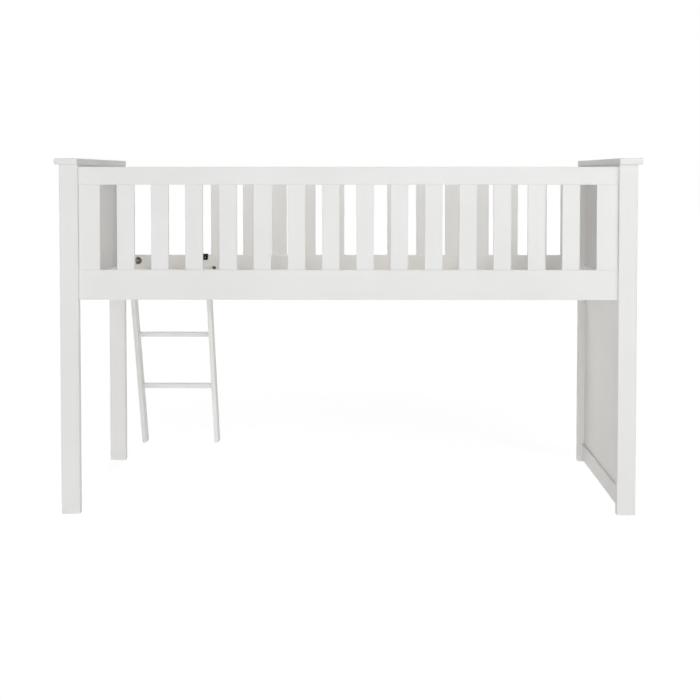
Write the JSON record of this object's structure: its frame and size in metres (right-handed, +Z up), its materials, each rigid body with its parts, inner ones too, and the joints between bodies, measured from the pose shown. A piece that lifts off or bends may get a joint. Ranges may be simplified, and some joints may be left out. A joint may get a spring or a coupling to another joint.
{
  "type": "low loft bed",
  "caption": "Low loft bed with slatted guards, framed panel ends, a slatted pine deck and a raked ladder that hooks over the rear side rail.",
  "frame": {"origin": "on the floor, in the middle of the footprint with the ladder hooked on", "axes": "+X along the bed towards the closed end, -Y towards the side of the long guard, +Y towards the ladder, +Z up"},
  "size_m": [2.06, 1.5942, 1.26],
  "materials": {
    "white_paint": "satin white paint",
    "bare_pine": "planed bare pine",
    "dowel_beech": "bare beech",
    "black_steel": "satin black powder coat",
    "zinc_steel": "bright zinc plate"
  },
  "bodies": {
    "bed": {"left_cap": "white_paint", "left_end_top_rail": "white_paint", "left_end_deck_rail": "white_paint", "left_end_panel": "white_paint", "right_cap": "white_paint", "right_end_top_rail": "white_paint", "right_end_deck_rail": "white_paint", "right_end_bottom_rail": "white_paint", "right_end_upper_panel": "white_paint", "right_end_lower_panel": "white_paint", "front_side_rail": "white_paint", "front_top_rail": "white_paint", "front_guard_slats": "white_paint", "front_left_stile": "white_paint", "front_right_stile": "white_paint", "rear_side_rail": "white_paint", "rear_top_rail": "white_paint", "rear_guard_slats": "white_paint", "rear_left_stile": "white_paint", "rear_right_stile": "white_paint", "front_left_post": "white_paint", "front_right_post": "white_paint", "rear_left_post": "white_paint", "rear_right_post": "white_paint", "front_cleat": "bare_pine", "rear_cleat": "bare_pine", "bed_slat_01": "bare_pine", "bed_slat_02": "bare_pine", "bed_slat_03": "bare_pine", "bed_slat_04": "bare_pine", "bed_slat_05": "bare_pine", "bed_slat_06": "bare_pine", "bed_slat_07": "bare_pine", "bed_slat_08": "bare_pine", "bed_slat_09": "bare_pine", "bed_slat_10": "bare_pine", "bed_slat_11": "bare_pine", "bed_slat_12": "bare_pine", "bed_slat_13": "bare_pine", "bed_slat_14": "bare_pine", "cap_dowels": "dowel_beech", "top_rail_dowels": "dowel_beech", "rail_studs": "zinc_steel", "half_moon_washers": "zinc_steel", "rail_nuts": "zinc_steel", "stile_studs": "zinc_steel", "stile_nuts": "zinc_steel", "cleat_screws": "zinc_steel", "bed_slat_screws": "zinc_steel"},
    "ladder": {"left_stringer": "white_paint", "right_stringer": "white_paint", "rung_01": "white_paint", "rung_02": "white_paint", "rung_03": "white_paint", "left_hook": "black_steel", "right_hook": "black_steel", "rung_screws": "zinc_steel", "hook_screws": "zinc_steel"}
  },
  "joints": [
    {"name": "ladder_lift", "type": "slide", "parent": "bed", "child": "ladder", "axis": [0, 0, 1], "range_m": [0, 0.12]}
  ]
}
